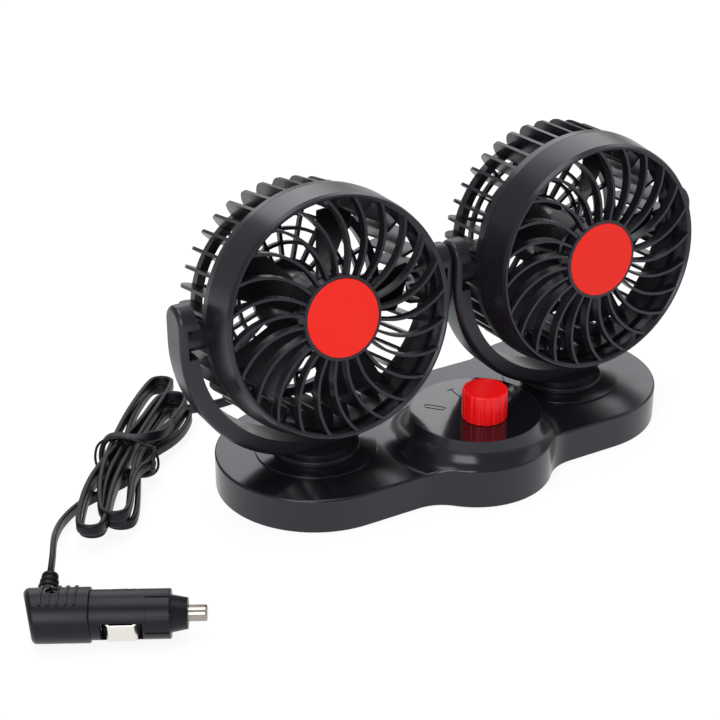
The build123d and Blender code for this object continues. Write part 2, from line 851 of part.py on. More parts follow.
def impeller():
    hub = disc(impeller_hub_radius, -impeller_back, impeller_front)
    hub = fillet(hub.edges().sort_by(Axis.Z)[-1], impeller_hub_round)
    hub -= disc(impeller_hub_bore, -impeller_back, impeller_front - impeller_hub_wall)
    boss = disc(impeller_boss_radius, impeller_boss_back, impeller_front - impeller_hub_wall / 2)
    root_place = impeller_hub_radius - impeller_hub_wall / 2
    sections = []
    for place, chord, pitch in (
        (root_place, blade_root_chord, blade_root_pitch),
        (blade_radius + overrun, blade_tip_chord, blade_tip_pitch),
    ):
        plane = Plane(origin=(place, 0, blade_height), x_dir=(0, 1, 0), z_dir=(1, 0, 0))
        sections.append(plane * Rot(0, 0, pitch) * Rectangle(chord, blade_thickness))
    blade = loft(sections, ruled=True)
    blade &= disc(blade_radius, -impeller_back - blade_tip_chord, impeller_front + blade_tip_chord)
    body = hub + around(blade, blade_count) + [boss]
    body -= disc(impeller_hub_bore, -impeller_back - blade_tip_chord, impeller_boss_back)
    return body - disc(shaft_radius + shaft_clearance, -impeller_back, shaft_front)


# Cord: free stretches, the hank and its tie

def free_cord(name, points):
    """A tube along straight runs joined by arcs as large as the runs allow."""
    points = [Vector(*p) for p in points]
    runs = [b - a for a, b in zip(points, points[1:])]
    radii = []
    for before, after in zip(runs, runs[1:]):
        turn = radians(before.get_angle(after))
        radii.append(arc_share * min(before.length, after.length) / tan(turn / 2))
    path = FilletPolyline(*points, radius=radii)
    tube = sweep(Plane(origin=points[0], z_dir=runs[0]) * Circle(cord_radius), path=path)
    plain_volume = pi * cord_radius**2 * path.length
    print(name, "length", round(path.length, 1), "volume share", round(tube.volume / plain_volume, 4))
    print(name, "radii", [round(radius, 1) for radius in radii])
    return tube


def hank_point(along, across, height):
    turn = radians(hank_turn)
    x = hank_x + along * cos(turn) + across * sin(turn)
    y = hank_y + along * sin(turn) - across * cos(turn)
    return Vector(x, y, height)


def hank_direction(along, across, height=0):
    return (hank_point(along, across, height) - hank_point(0, 0, 0)).normalized()


def biarc(start, start_direction, end, end_direction):
    """Two arcs that leave the start and reach the end in the given directions."""
    gap = end - start
    both = start_direction + end_direction
    spread = 2 * (1 - start_direction.dot(end_direction))
    if spread < angle_tolerance:
        reach = gap.dot(gap) / (4 * gap.dot(start_direction))
    else:
        reach = (-gap.dot(both) + sqrt(gap.dot(both) ** 2 + spread * gap.dot(gap))) / spread
    joint = (start + end + (start_direction - end_direction) * reach) / 2
    middle = (end - end_direction * reach) - (start + start_direction * reach)
    first = TangentArc(start, joint, tangent=start_direction)
    return [first, TangentArc(joint, end, tangent=middle.normalized())]


def hank_edges():
    """The hank's centre line: in on the upper layer, down along a run and out on the lower one."""
    edges = []
    last = 2 * hank_loop_count
    lower = hank_top - hank_layer
    for run in range(last + 1):
        steps_in = min(run, last - run)
        half = hank_half_width - steps_in * hank_step / 2
        side = 1 if run % 2 == 0 else -1
        across = side * half
        waist = side * (half - hank_waist_draw)
        heading = -side
        ahead = hank_direction(heading, 0)
        climbing = run == hank_loop_count
        start_height = hank_top if run <= hank_loop_count else lower
        end_height = lower if climbing else start_height
        begin = hank_point(-heading * hank_turn_centre, across, start_height)
        if run == 0:
            begin = hank_point(hank_start, across, start_height)
            inside = begin + ahead * 2 * cord_radius
            edges.append(Line(begin, inside))
            begin = inside
        if run == last:
            return edges + exit_edges(begin, ahead)
        middle_height = (start_height + end_height) / 2
        middle = hank_point(0, waist, middle_height)
        slope = (end_height - start_height) / hank_turn_centre
        along_waist = hank_direction(heading, 0, slope) if climbing else ahead
        end = hank_point(heading * hank_turn_centre, across, end_height)
        edges += biarc(begin, ahead, middle, along_waist)
        edges += biarc(middle, along_waist, end, ahead)
        next_half = hank_half_width - min(run + 1, last - run - 1) * hank_step / 2
        radius = (half + next_half) / 2
        centre = side * (half - radius)
        apex = hank_point(heading * (hank_turn_centre + radius), centre, end_height)
        far = hank_point(heading * hank_turn_centre, -side * next_half, end_height)
        edges.append(TangentArc(end, apex, tangent=ahead))
        edges.append(TangentArc(apex, far, tangent=hank_direction(0, -side)))


def exit_edges(begin, ahead):
    """The last run dives to the floor and crosses under the loops to the tail."""
    low = hank_point(hank_dive_end, hank_half_width, cord_floor)
    turn = radians(hank_exit_angle)
    out = hank_direction(-cos(turn), -sin(turn))
    leave = hank_point(hank_exit_along, hank_exit_across, cord_floor)
    before = leave - out * 2 * cord_radius
    return biarc(begin, ahead, low, ahead) + biarc(low, ahead, before, out) + [Line(before, leave)]


def cord_hank():
    edges = hank_edges()
    path = Wire(edges)
    tube = sweep(Plane(origin=edges[0] @ 0, z_dir=edges[0] % 0) * Circle(cord_radius), path=path)
    points = []
    travelled = 0
    for edge in edges:
        count = max(2, int(edge.length / cord_radius) + 1)
        for step in range(count):
            points.append((travelled + edge.length * step / count, edge @ (step / count)))
        travelled += edge.length
    apart = 4 * pi * cord_radius
    least = min(
        (p - q).length
        for i, (s, p) in enumerate(points)
        for t, q in points[i + 1 :]
        if t - s > apart
    )
    print("cord_hank length", round(travelled, 1), "least gap", round(least - 2 * cord_radius, 2))
    print("cord_hank volume share", round(tube.volume / (pi * cord_radius**2) / travelled, 4))
    return tube


def cord_tie():
    upper_side = hank_half_width - hank_waist_draw + cord_radius
    lower_side = upper_side - hank_step / 2
    width = upper_side + lower_side + 2 * tie_gap
    height = hank_layer + 2 * cord_radius + 2 * tie_gap
    corner = cord_radius + tie_gap
    hollow = RectangleRounded(width, height, corner)
    band = RectangleRounded(width + 2 * tie_thickness, height + 2 * tie_thickness, corner + tie_thickness)
    centre = hank_point(0, (upper_side - lower_side) / 2, hank_top - hank_layer / 2)
    plane = Plane(origin=centre, x_dir=hank_direction(0, 1), z_dir=hank_direction(1, 0))
    return extrude(plane * (band - hollow), tie_width / 2, both=True)


# Plug, built along +X from its rear end

plug_place = (
    Pos(plug_rear_x, plug_rear_y, plug_axis_height) * Rot(0, 0, plug_turn) * Rot(plug_roll, 0, 0)
)
screw_lean = Rot(-plug_screw_turn, 0, 0)
halves_plane = Plane.XY.rotated((-plug_screw_turn, 0, 0))
fuse_rear = collar_end - fuse_length
spring_rear = fuse_rear - spring_length
chamber_radius = barrel_radius - plug_wall
rear_chamber_radius = housing_radius - plug_wall
screw_seat = housing_radius - plug_wall
contact_foot_height = sqrt(chamber_radius**2 - (contact_width / 2) ** 2) - 2 * shaft_clearance


def rear_cut(inset):
    """What the slanted rear end takes away, moved in by a wall."""
    size = 2 * housing_length
    face = Pos(inset - size / 2, 0, 0) * Box(size, size, size)
    return Pos(0, housing_radius, 0) * Rot(0, 0, housing_slant) * face


def plug_body():
    """Both halves of the plug's body in one."""
    housing = along_x(disc(housing_radius, 0, housing_length)) - rear_cut(0)
    rear_edge = housing.edges().sort_by(Axis.X)[0]
    housing = fillet(rear_edge, housing_round)
    front_edge = housing.edges().sort_by(Axis.X)[-1]
    housing = fillet(front_edge, (housing_radius - barrel_radius) / 2)
    body = housing + [
        along_x(disc(barrel_radius, housing_length, barrel_end)),
        along_x(disc(neck_radius, barrel_end, barrel_end + neck_length)),
    ]
    for place in range(ridge_count):
        x = ridge_place + (place - (ridge_count - 1) / 2) * ridge_step
        ridge_face = Plane.XZ * Pos(x, housing_radius) * Rectangle(ridge_width, 2 * ridge_rise)
        body += Rot(-ridge_sweep / 2 - plug_screw_turn, 0, 0) * revolve(ridge_face, Axis.X, ridge_sweep)
    rear_chamber = along_x(disc(rear_chamber_radius, 0, spring_rear - bulkhead_thickness))
    rear_chamber -= rear_cut(plug_wall)
    post = disc(plug_screw_post_radius, -rear_chamber_radius, rear_chamber_radius)
    body -= rear_chamber - screw_lean * Pos(plug_screw_place, 0, 0) * post
    body -= along_x(disc(chamber_radius, spring_rear, barrel_end))
    body -= along_x(disc(neck_bore_radius, barrel_end, barrel_end + neck_length))
    hole_bottom = screw_seat - plug_screw_length - shaft_clearance
    screw_hole = disc(plug_screw_radius + shaft_clearance, hole_bottom, housing_radius)
    sink = disc(plug_screw_head_radius + seat_gap, screw_seat, housing_radius + 2 * ridge_rise)
    body -= [screw_lean * Pos(plug_screw_place, 0, 0) * tool for tool in (screw_hole, sink)]
    neck_hole = disc(boot_neck_radius + shaft_clearance, rear_chamber_radius / 2, housing_radius)
    seat_hole = disc(boot_root_radius + shaft_clearance, boot_seat, housing_radius + overrun)
    body -= [Pos(boot_place, 0, 0) * Rot(-90, 0, 0) * tool for tool in (neck_hole, seat_hole)]
    window = Box(contact_length + 2 * seat_gap, barrel_radius, contact_width + 2 * seat_gap)
    along = contact_rear + contact_length / 2
    for side in (-1, 1):
        body -= Pos(along, side * (contact_foot_height + barrel_radius / 2), 0) * window
    return body


def plug_contact():
    """The spring contact on the +Y side: a strip with two ramps and two feet."""
    end = contact_rear + contact_length
    low = contact_foot_height - contact_thickness
    high = contact_height - contact_thickness
    outline = Polyline(
        (contact_rear - contact_foot, contact_foot_height),
        (contact_rear, contact_foot_height),
        (contact_rear + contact_ramp, contact_height),
        (end - contact_ramp, contact_height),
        (end, contact_foot_height),
        (end + contact_foot, contact_foot_height),
        (end + contact_foot, low),
        (end - contact_thickness, low),
        (end - contact_ramp - contact_thickness, high),
        (contact_rear + contact_ramp + contact_thickness, high),
        (contact_rear + contact_thickness, low),
        (contact_rear - contact_foot, low),
        close=True,
    )
    return extrude(make_face(outline), contact_width / 2, both=True)


def plug_collar():
    ring_start = barrel_end + shaft_clearance
    lip_start = collar_end - collar_lip
    body = disc(barrel_radius, ring_start, collar_end)
    body = fillet(body.edges().sort_by(Axis.Z)[-1], collar_round)
    body -= disc(neck_radius + shaft_clearance, ring_start, lip_start)
    body -= disc(nose_root_radius + shaft_clearance, lip_start, collar_end)
    groove = block(2 * collar_groove_depth, collar_groove_width, ring_start, collar_end)
    return along_x(body - around(Pos(barrel_radius, 0, 0) * groove, collar_groove_count))


def plug_nose():
    start = barrel_end + neck_length + shaft_clearance
    lip_start = collar_end - collar_lip
    tip_seat = collar_end + tip_flange_length
    body = turned([
        (tip_flange_radius + seat_gap, start),
        (nose_flange_radius, start),
        (nose_flange_radius, lip_start),
        (nose_root_radius, lip_start),
        (nose_root_radius, collar_end),
        (nose_end_radius, nose_end),
        (tip_radius + shaft_clearance, nose_end),
        (tip_radius + shaft_clearance, tip_seat),
        (tip_flange_radius + seat_gap, tip_seat),
    ])
    return along_x(body)


def plug_tip():
    end = nose_end + tip_length
    rod = disc(tip_radius, collar_end, end)
    rod = fillet(rod.edges().sort_by(Axis.Z)[-1], tip_round)
    return along_x(rod + disc(tip_flange_radius, collar_end, collar_end + tip_flange_length))


def plug_fuse():
    body = disc(fuse_radius, fuse_rear, collar_end)
    cap_radius = fuse_radius + fuse_cap_rise
    body += disc(cap_radius, fuse_rear, fuse_rear + fuse_cap_length)
    return along_x(body + disc(cap_radius, collar_end - fuse_cap_length, collar_end))


def tip_spring():
    return along_x(ring(spring_radius, spring_radius - spring_wall, spring_rear, fuse_rear))


def plug_screw():
    one = screw(plug_screw_radius, plug_screw_length, plug_screw_head_radius, plug_screw_head_height)
    return screw_lean * Pos(plug_screw_place, 0, screw_seat) * Rot(180, 0, 0) * one


def cord_boot():
    flange_top = sqrt(rear_chamber_radius**2 - boot_flange_radius**2) - shaft_clearance
    body = turned([
        (0, flange_top - boot_flange_length),
        (boot_flange_radius, flange_top - boot_flange_length),
        (boot_flange_radius, flange_top),
        (boot_neck_radius, flange_top),
        (boot_neck_radius, boot_seat),
        (boot_root_radius, boot_seat),
        (boot_root_radius, housing_radius),
        (boot_tip_radius, boot_reach),
        (0, boot_reach),
    ])
    for rib in range(boot_rib_count):
        top = boot_reach - boot_rib_width / 2 - rib * boot_rib_step
        share = (boot_reach - top) / (boot_reach - housing_radius)
        radius = boot_tip_radius + share * (boot_root_radius - boot_tip_radius) + boot_rib_rise
        body += disc(radius, top - boot_rib_width, top)
    return Pos(boot_place, 0, 0) * Rot(-90, 0, 0) * body


# Routes of the free cord, chosen by eye, from the gland to the hank and on to the plug

def run_route():
    start = Vector(gland_x, base_back + gland_length, gland_height)
    end = hank_edges()[0] @ 0
    back = hank_direction(1, 0)
    return [
        start,
        start + Vector(0, gland_lead, 0),
        Vector(-38.5, 76.5, 3.3),
        Vector(-52.0, 83.0, 2.05),
        Vector(-68.0, 84.5, 2.05),
        Vector(-83.0, 82.0, 3.0),
        Vector(-97.5, 78.5, 6.8),
        end + back * hank_lead,
        end,
    ]


def tail_route():
    last = hank_edges()[-1]
    start = last @ 1
    end = (plug_place * Pos(boot_place, boot_reach, 0)).position
    outside = (plug_place * Pos(boot_place, boot_reach + boot_lead, 0)).position
    return [
        start,
        start + (last % 1) * hank_tail_lead,
        Vector(-190.5, 15.5, 5.0),
        Vector(-197.5, 3.0, 9.3),
        Vector(-203.5, -10.5, 14.6),
        outside,
        end,
    ]


# All pieces by name

def build():
    body = plug_body()
    nodes = {
        "base_shell": base_shell(),
        "base_cover": base_cover(),
        "base_screws": base_screws(),
        "base_pad": base_pad(),
        "dial_plate": dial_plate(),
        "speed_knob": speed_knob(),
        "switch_shaft": switch_shaft(),
        "speed_switch": speed_switch(),
        "switch_nut": switch_nut(),
        "speed_board": speed_board(),
        "speed_resistor": speed_resistor(),
        "cord_gland": cord_gland(),
        "cord_run": free_cord("cord_run", run_route()),
        "cord_hank": cord_hank(),
        "cord_tie": cord_tie(),
        "cord_tail": free_cord("cord_tail", tail_route()),
        "plug_body_top": plug_place * split(body, bisect_by=halves_plane, keep=Keep.TOP),
        "plug_body_bottom": plug_place * split(body, bisect_by=halves_plane, keep=Keep.BOTTOM),
        "plug_screw": plug_place * plug_screw(),
        "plug_collar": plug_place * plug_collar(),
        "plug_nose": plug_place * plug_nose(),
        "plug_tip": plug_place * plug_tip(),
        "plug_fuse": plug_place * plug_fuse(),
        "tip_spring": plug_place * tip_spring(),
        "back_contact": plug_place * plug_contact(),
        "front_contact": plug_place * Rot(180, 0, 0) * plug_contact(),
        "cord_boot": plug_place * cord_boot(),
    }
    on_yoke = {
        "yoke": yoke(),
        "swivel_washer": swivel_washer(),
        "swivel_screw": swivel_screw(),
        "tilt_washers": tilt_washers(),
    }
    on_head = {
        "front_grille": front_grille(),
        "badge_disc": badge_disc(),
        "rear_cage": rear_cage(),
        "pivot_pins": pivot_pins(),
        "motor_can": motor_can(),
        "motor_end_cap": motor_end_cap(),
        "motor_magnets": motor_magnets(),
        "motor_bushes": motor_bushes(),
        "motor_screws": motor_screws(),
        "impeller": impeller(),
        "motor_shaft": motor_shaft(),
        "rotor": rotor(),
    }
    for name, side, tilt in (("left", -1, left_tilt), ("right", 1, right_tilt)):
        across = Pos(side * half_spacing, 0, 0)
        facing = across * Pos(0, 0, tilt_axis_height) * Rot(90 - tilt, 0, 0)
        nodes |= {f"{name}_{piece}": across * shape for piece, shape in on_yoke.items()}
        nodes |= {f"{name}_{piece}": facing * shape for piece, shape in on_head.items()}
    return nodes


for node, shape in build().items():
    export_step(shape, f"parts/{node}.step")
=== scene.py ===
# %% [markdown]
# # Dual head car fan
#
# Two small fans stand in U-shaped yokes on one low base, and a lead with a 12 volt plug feeds them
# from the car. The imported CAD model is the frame: every solid is already in its place, in metres.
# This notebook adds what a CAD model doesn't hold: the camera of the photograph, the real shape of
# the cord, the finish of each material, and the light. It keeps the size of the CAD model.

# %% Load the frame
import bpy
from math import cos, pi, radians, sin, tan
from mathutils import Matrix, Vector


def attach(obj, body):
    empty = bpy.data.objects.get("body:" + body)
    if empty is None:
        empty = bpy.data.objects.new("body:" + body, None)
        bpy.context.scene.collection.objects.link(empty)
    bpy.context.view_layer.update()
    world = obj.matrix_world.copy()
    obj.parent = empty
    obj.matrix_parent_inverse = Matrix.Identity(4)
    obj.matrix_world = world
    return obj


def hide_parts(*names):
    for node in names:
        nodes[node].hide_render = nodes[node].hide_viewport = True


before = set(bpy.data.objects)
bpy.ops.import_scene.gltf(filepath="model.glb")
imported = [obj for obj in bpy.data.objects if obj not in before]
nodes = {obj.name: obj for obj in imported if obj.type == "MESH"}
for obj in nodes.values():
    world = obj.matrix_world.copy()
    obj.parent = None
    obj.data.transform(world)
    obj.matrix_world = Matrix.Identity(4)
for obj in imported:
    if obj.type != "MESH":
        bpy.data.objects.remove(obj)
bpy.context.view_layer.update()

scene = bpy.context.scene
MM = 0.001
print("CAD nodes", len(nodes))

# %% [markdown]
# ## Camera
#
# A camera could be placed by eye, by matching outlines, or by fitting: known points of the model are
# marked in the photograph, and the view is solved that puts each one on its mark. The fit was used
# here, because it also settles the object's scale. The camera stands 28 degrees above the floor and
# 30 degrees round to the left, with a long lens, which keeps the two heads nearly equal.

# %% Camera
# From the fit: two angles in degrees, then metres and pixels.
azimuth, elevation, distance = -30.0798, 27.6163, 0.832289
target = Vector((-0.0356724, 0.0176959, 0.0457693))
sensor_width = 36
photo_width, focal_pixels = 720, 1754.87
lens = focal_pixels / photo_width * sensor_width

camera_data = bpy.data.cameras.new("camera")
camera_data.sensor_width = sensor_width
camera_data.lens = lens
camera = bpy.data.objects.new("camera", camera_data)
scene.collection.objects.link(camera)
turn, rise = radians(azimuth), radians(elevation)
back = Vector((sin(turn) * cos(rise), -cos(turn) * cos(rise), sin(rise)))
camera.location = target + back * distance
camera.rotation_euler = (pi / 2 - rise, 0, turn)
camera_data.clip_start, camera_data.clip_end = 0.01, 20
scene.camera = camera
print("camera", [round(c, 3) for c in camera.location], "lens", round(lens, 1))

# %% [markdown]
# ## The lead's route
#
# The lead is a flat twin cord, 5.2 mm wide. It leaves the back of the base and runs along the floor
# to a hank of five loops. It wraps once round the hank's middle and fans out into loops of
# different sizes at both ends. Then it passes under them and rises to the plug's boot.
#
# Such a route could be drawn by hand point by point, or made by a cloth or rope simulation. Here a
# small table gives the size and place of each loop, because a hank is wound that way, and because a
# loop that looks wrong can be changed alone. One NURBS spline holds the whole route, since it stays
# smooth between few points. The end of a loop has four points, the corners of half an octagon.

# %% Lead route
# All lengths of the route are in millimetres. The hank lies at 56 degrees to the base's front.
hank_centre = Vector((-141.0, 50.0, 0))
hank_turn = radians(56.0)
cord_width = 5.2
cord_depth = 2.6


def hank_point(along, across, height):
    """A point from its place along the hank, across it to the right, and above the floor."""
    x = hank_centre.x + along * cos(hank_turn) + across * sin(hank_turn)
    y = hank_centre.y + along * sin(hank_turn) - across * cos(hank_turn)
    return Vector((x, y, height))


UP = Vector((0, 0, 1))
ALONG = Vector((cos(hank_turn), sin(hank_turn), 0))

# From the gland in the base's back wall to the hank, and from the hank to the plug.
run_points = [
    (-30.0, 50.5, 8.0), (-30.0, 62.0, 8.0), (-38.5, 76.5, 3.7), (-52.0, 83.0, 2.7),
    (-68.0, 84.5, 2.7), (-83.0, 82.0, 3.4), (-97.5, 78.5, 7.2), (-108.4, 71.4, 12.0),
]
tail_points = [
    (-181.1, 26.3, 2.7), (-190.5, 15.5, 5.4), (-197.5, 3.0, 9.6), (-203.5, -10.5, 14.8),
]

# %% [markdown]
# Each run crosses the tied middle at its own place. Each loop's end has its reach along the hank,
# the place of its middle across it, half its width, its height, and how far its root lies aside. A
# run bellies out a little on its way from the middle to its loop's end.

# %% Loops of the hank
middles = [
    (6.8, 12.7), (-9.7, 12.6), (0.6, 12.8), (-6.6, 12.7), (3.7, 12.7), (-3.4, 12.6),
    (-1.0, 7.1), (-8.6, 7.0), (2.6, 7.2), (-4.8, 7.0), (6.2, 7.1),
]
loop_ends = [
    (-60.0, 2.6, 6.8, 12.6, -5.0), (66.0, 3.4, 6.2, 12.8, -4.0), (-70.5, -6.0, 6.2, 11.8, -4.5),
    (51.0, 11.6, 7.6, 12.6, -1.0), (-58.0, 2.2, 6.0, 8.2, -4.5), (65.5, 2.6, 5.8, 8.0, -3.0),
    (-65.0, -6.6, 5.8, 6.6, -4.0), (51.0, 12.4, 6.0, 7.2, 0.0), (-56.0, 4.4, 6.8, 5.6, -3.0),
    (47.0, 14.6, 7.0, 5.8, 1.0),
]
# Once round the middle, each point with the way that the cord's broad side leans there.
wrap_points = [
    (22, 15.2, 12.4, UP), (11, 13.8, 14.2, UP), (4, 9.0, 16.2, UP + ALONG), (0, 2.0, 17.0, ALONG),
    (3, -6.5, 16.9, ALONG), (4, -13.0, 14.8, ALONG), (1, -15.2, 8.6, ALONG), (-4, -12.6, 3.2, ALONG),
    (-7, 0.0, 2.4, ALONG), (-8, 9.8, 3.2, ALONG), (-9, 12.2, 9.0, UP + ALONG), (-15, 10.0, 12.7, UP),
]


# An octagon's corners as shares of half the loop's width: how far out, and how far aside.
octagon = tan(pi / 8)
half_octagon = ((octagon, 1), (1, octagon), (1, -octagon), (octagon, -1))
# Halfway out, a run is three quarters of the way over to the loop's side, and a tenth past it.
end_pull, belly = 0.75, 1.1


def hank_route():
    """The wrap, then each loop's end between two runs through the middle."""
    points = [hank_point(*place) for *place, lean in wrap_points]
    for turn, (reach, centre, half, height, root) in enumerate(loop_ends):
        side = 1 if turn % 2 == 0 else -1
        straight = reach + side * half
        for (across, level), edge in ((middles[turn], side), (middles[turn + 1], -side)):
            bulge = centre + root + edge * half * belly
            widest = across * (1 - end_pull) + bulge * end_pull
            points.append(hank_point(straight / 2, widest, (level + height) / 2))
            if edge == side:
                for out, aside in half_octagon:
                    end = straight - side * out * half
                    points.append(hank_point(end, centre + side * aside * half, height))
        points.append(hank_point(0, *middles[turn + 1]))
    return points


# Out under the wrap and the near loops, flat on the floor.
exit_points = [
    hank_point(-13, 2.5, 3.6), hank_point(-22, -6.0, 2.7), hank_point(-34, -16.0, 2.7),
]
# At the mouth of the plug's boot, and inside it.
boot_out = (-210.4, -28.2, 18.9)
boot_end = (-214.8, -36.3, 16.6)

# %% [markdown]
# A flat cord bends about its thin side, so in a flat loop it stands on its edge, and in the wrap it
# lies with its broad side on the loops. A curve's own bevel can't be told which way to lean, so the
# cord is built here ring by ring: a second spline beside the first gives the way that the broad
# side leans. The profile is two round conductors side by side, with a groove between them. That
# groove is what tells the eye that the black band is a cord and not a strap.

# %% Cord shape
steps_per_point = 6
cord_sides = 24
# The groove takes the inner third of each conductor's half, and a sixth of its depth.
groove_share, groove_depth = 0.35, 0.16


def spline_points(points):
    """Points read from a NURBS spline that has the given control points, in metres."""
    curve = bpy.data.curves.new("guide", "CURVE")
    curve.dimensions = "3D"
    spline = curve.splines.new("NURBS")
    spline.points.add(len(points) - 1)
    for point, place in zip(spline.points, points):
        point.co = (*(Vector(place) * MM), 1)
    spline.order_u = 3
    spline.use_endpoint_u = True
    spline.resolution_u = steps_per_point
    guide = bpy.data.objects.new("guide", curve)
    scene.collection.objects.link(guide)
    bpy.context.view_layer.update()
    graph = bpy.context.evaluated_depsgraph_get()
    mesh = bpy.data.meshes.new_from_object(guide.evaluated_get(graph))
    places = [vertex.co.copy() for vertex in mesh.vertices]
    bpy.data.objects.remove(guide)
    bpy.data.meshes.remove(mesh)
    return places


def tube_mesh(name, path, leans, profile):
    """A tube along the path: the profile's x follows the lean and its y lies to the side."""
    vertices, faces = [], []
    count = len(profile)
    for place, (point, lean) in enumerate(zip(path, leans)):
        ahead = (path[min(place + 1, len(path) - 1)] - path[max(place - 1, 0)]).normalized()
        side = ahead.cross(lean).normalized()
        broad = side.cross(ahead)
        vertices += [point + broad * x * MM + side * y * MM for x, y in profile]
    for ring in range(len(path) - 1):
        for corner in range(count):
            a, b = ring * count + corner, ring * count + (corner + 1) % count
            faces.append((a, a + count, b + count, b))
    faces += [tuple(range(count)), tuple(range(len(vertices) - 1, len(vertices) - count - 1, -1))]
    mesh = bpy.data.meshes.new(name)
    mesh.from_pydata(vertices, [], faces)
    mesh.update()
    obj = bpy.data.objects.new(name, mesh)
    scene.collection.objects.link(obj)
    mesh.shade_smooth()
    return obj


def round_profile(radius, count):
    turns = [2 * pi * corner / count for corner in range(count)]
    return [(radius * cos(turn), radius * sin(turn)) for turn in turns]


# %% Lead
profile = []
near_zero = 1e-6
for x, y in round_profile(1, cord_sides):
    pinch = 1 - groove_depth * max(0, 1 - abs(x) / groove_share)
    apart = (x > near_zero) - (x < -near_zero)
    profile.append((
        x * cord_depth / 2 + apart * (cord_width - cord_depth) / 2,
        y * cord_depth / 2 * pinch,
    ))

route = run_points + hank_route() + exit_points + tail_points + [boot_out, boot_end]
leans = [UP] * len(run_points) + [lean for *place, lean in wrap_points]
leans += [UP] * (len(route) - len(leans))
path = spline_points(route)
beside = spline_points([Vector(place) + lean.normalized() for place, lean in zip(route, leans)])
lead = tube_mesh("lead", path, [(b - a).normalized() for a, b in zip(path, beside)], profile)
lead_length = sum((b - a).length for a, b in zip(path, path[1:]))
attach(lead, "base")
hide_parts("cord_run", "cord_hank", "cord_tail")
print("lead", round(lead_length, 3), "m,", len(lead.data.polygons), "faces")

# %% [markdown]
# A thin coated wire ties the hank's middle, as a new product is packed. Its two ends are twisted
# together, so they are drawn as two strands that change sides at each half turn.

# %% Tie
tie_ring = [
    (-4, 8.6, 15.4), (-3, 1.0, 18.9), (-2, -8.0, 18.6), (-3, -15.6, 16.2), (-5, -17.2, 8.0),
    (-7, -14.4, 1.8), (-8, -2.0, 1.0), (-8, 9.0, 1.2), (-7, 13.6, 5.0), (-6, 13.4, 11.6),
]
# The coated wire is 1.2 mm thick. Its ends make eight half turns about each other.
wire_radius, wire_sides = 0.62, 10
half_turns, strand_offset = 8, 0.7
twist_start = hank_point(-6, 12.0, 16.2)
twist_way = (hank_point(-17, 12.6, 11.0) - twist_start) / half_turns
across_way = twist_way.cross(UP).normalized()
twist = []
for half_turn in range(half_turns + 1):
    swing = (across_way if half_turn % 2 else -across_way) * strand_offset
    twist.append((twist_start + twist_way * half_turn, swing))
tie_route = [point + swing for point, swing in reversed(twist)]
tie_route += [hank_point(*place) for place in tie_ring]
tie_route += [point - swing for point, swing in twist]
tie_path = spline_points(tie_route)
tie_steps = [b - a for a, b in zip(tie_path, tie_path[1:] + tie_path[-1:])]
tie_leans = [ALONG if abs(step.z) > abs(step.dot(ALONG)) else UP for step in tie_steps]
tie = tube_mesh("wire_tie", tie_path, tie_leans, round_profile(wire_radius, wire_sides))
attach(tie, "base")
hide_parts("cord_tie")
print("tie", len(tie.data.polygons), "faces")

# %% [markdown]
# ## Finishes
#
# Black plastic is hardly ever seen by its colour. What the eye reads is the reflection on it: how
# sharp it is and how it breaks up. So each finish here is a dark colour, a roughness that wanders a
# little, as a moulded surface does, and a fine relief like the grain that is etched in the mould. A
# photograph laid on the surface could do this too, but it would carry that photograph's own light.
#
# Colours are written as on a screen and turned to linear light by one function. Each finish is
# named for its real material.

# %% Colour and node helpers
# Reflections on the plastics are a little violet, as in the photograph.
violet_gloss = "f2f0ff"
# The roughness wanders over about 33 mm, the size of the flow marks on such mouldings. An etched
# grain is really finer than 0.1 mm. It is drawn 0.35 to 0.8 mm wide, as coarse as it has to be to
# show, and 0.1 mm deep at full strength.
cloud_mm = 100 / 3
cloud_low, cloud_high = 0.3, 0.7
grain_depth = 0.1
coat_roughness = 0.05


def linear(hex_colour):
    """Turns a colour as written on a screen into linear light."""
    def one(value):
        value /= 255
        return value / 12.92 if value <= 0.04045 else ((value + 0.055) / 1.055) ** 2.4
    return tuple(one(int(hex_colour[i : i + 2], 16)) for i in (0, 2, 4)) + (1,)


def add_node(tree, kind, inputs=None, **settings):
    """Adds one node, sets its options, and links or sets its inputs."""
    node = tree.nodes.new(kind)
    for name, value in settings.items():
        setattr(node, name, value)
    for name, value in (inputs or {}).items():
        if isinstance(value, bpy.types.NodeSocket):
            tree.links.new(value, node.inputs[name])
        else:
            node.inputs[name].default_value = value
    return node


